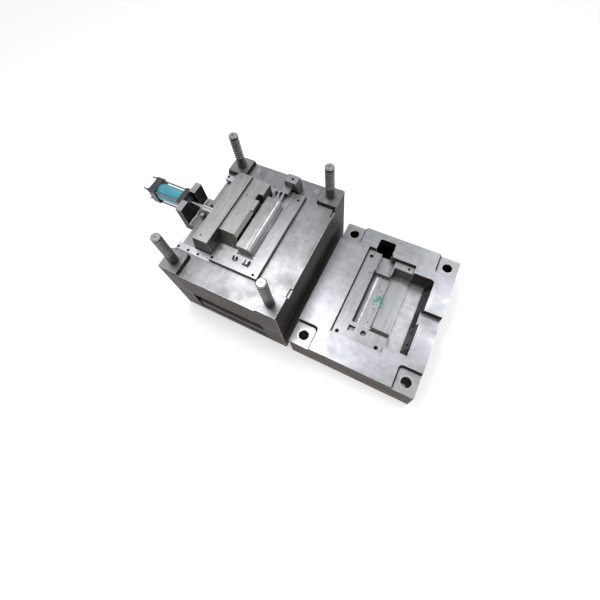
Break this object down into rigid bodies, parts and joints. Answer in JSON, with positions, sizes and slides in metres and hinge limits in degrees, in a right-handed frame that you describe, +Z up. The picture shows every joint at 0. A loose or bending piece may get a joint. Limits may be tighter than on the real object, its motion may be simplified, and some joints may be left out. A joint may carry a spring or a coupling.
{
  "type": "mould base",
  "caption": "Open injection mould base: core half with leader pins, ejector set and hydraulic side slide, and the cavity half beside it.",
  "frame": {"origin": "centre of the core half's bottom face, on the axis of the ejector rod hole", "axes": "+X across the mould from the core half to the cavity half, +Y along the plates to the rear, +Z up, the opening direction"},
  "size_m": [1.46, 0.675, 0.589],
  "materials": {
    "ground_steel": "surface-ground tool steel, satin with fine cross lay",
    "mill_steel": "milled carbon steel, oiled and slightly rusted on the sides",
    "polished_steel": "hardened and polished steel",
    "black_oxide_screw": "black oxide",
    "charcoal_cap": "charcoal black satin",
    "teal_tube": "glossy teal paint",
    "bronze": "graphite bronze, dull",
    "spring_paint": "blue spring enamel"
  },
  "bodies": {
    "core_half": {"bottom_clamp_plate": "mill_steel", "spacer_block_left": "mill_steel", "spacer_block_right": "mill_steel", "support_pillars": "mill_steel", "rest_buttons": "polished_steel", "bottom_screws": "black_oxide_screw", "core_plate": "ground_steel", "leader_pins": "polished_steel", "core_insert": "ground_steel", "core_boss": "polished_steel", "core_detail_inserts": "polished_steel", "core_insert_screws": "black_oxide_screw", "rear_post_block": "ground_steel", "rear_post_screw": "black_oxide_screw", "rear_shutoff_block": "ground_steel", "wear_plate": "bronze", "front_gib": "ground_steel", "rear_gib": "ground_steel", "gib_screws": "black_oxide_screw", "slide_stops": "ground_steel", "cylinder_bracket": "mill_steel", "bracket_screws": "black_oxide_screw", "cylinder_front_cap": "charcoal_cap", "cylinder_tube": "teal_tube", "cylinder_rear_cap": "charcoal_cap", "tie_rods": "polished_steel", "tie_rod_nuts": "black_oxide_screw", "ejector_guide_pins": "polished_steel", "return_springs": "spring_paint"},
    "slide_unit": {"slide_carrier": "ground_steel", "slide_face_insert": "ground_steel", "slide_core_pins": "polished_steel", "slide_screws": "black_oxide_screw", "rod_coupling": "ground_steel", "piston_rod": "polished_steel", "piston": "mill_steel"},
    "ejector_unit": {"ejector_base_plate": "mill_steel", "ejector_retainer_plate": "mill_steel", "ejector_plate_screws": "black_oxide_screw", "ejector_guide_bushes": "bronze", "ejector_pins": "polished_steel", "return_pins": "polished_steel"},
    "cavity_half": {"cavity_plate": "ground_steel", "top_clamp_plate": "mill_steel", "cavity_insert": "ground_steel", "cavity_block": "ground_steel", "cavity_rear_bar": "ground_steel", "rear_bar_screw": "black_oxide_screw", "cavity_insert_screws": "black_oxide_screw", "guide_bushings": "polished_steel", "wedge_plates": "ground_steel", "wedge_plate_screws": "black_oxide_screw", "sprue_bushing": "polished_steel", "locating_ring": "ground_steel", "locating_ring_screws": "black_oxide_screw", "cavity_clamp_screws": "black_oxide_screw"}
  },
  "joints": [
    {"name": "slide_pull", "type": "slide", "parent": "core_half", "child": "slide_unit", "axis": [-1, 0, 0], "range_m": [0, 0.055]},
    {"name": "ejector_stroke", "type": "slide", "parent": "core_half", "child": "ejector_unit", "axis": [0, 0, 1], "range_m": [0, 0.06], "stiffness_N_per_m": 40000, "springref_m": -0.01, "deforming": ["return_springs"]},
    {"name": "cavity_half_lift", "type": "slide", "parent": "core_half", "child": "cavity_half", "axis": [0, 0, 1], "range_m": [0, 0.45]}
  ]
}
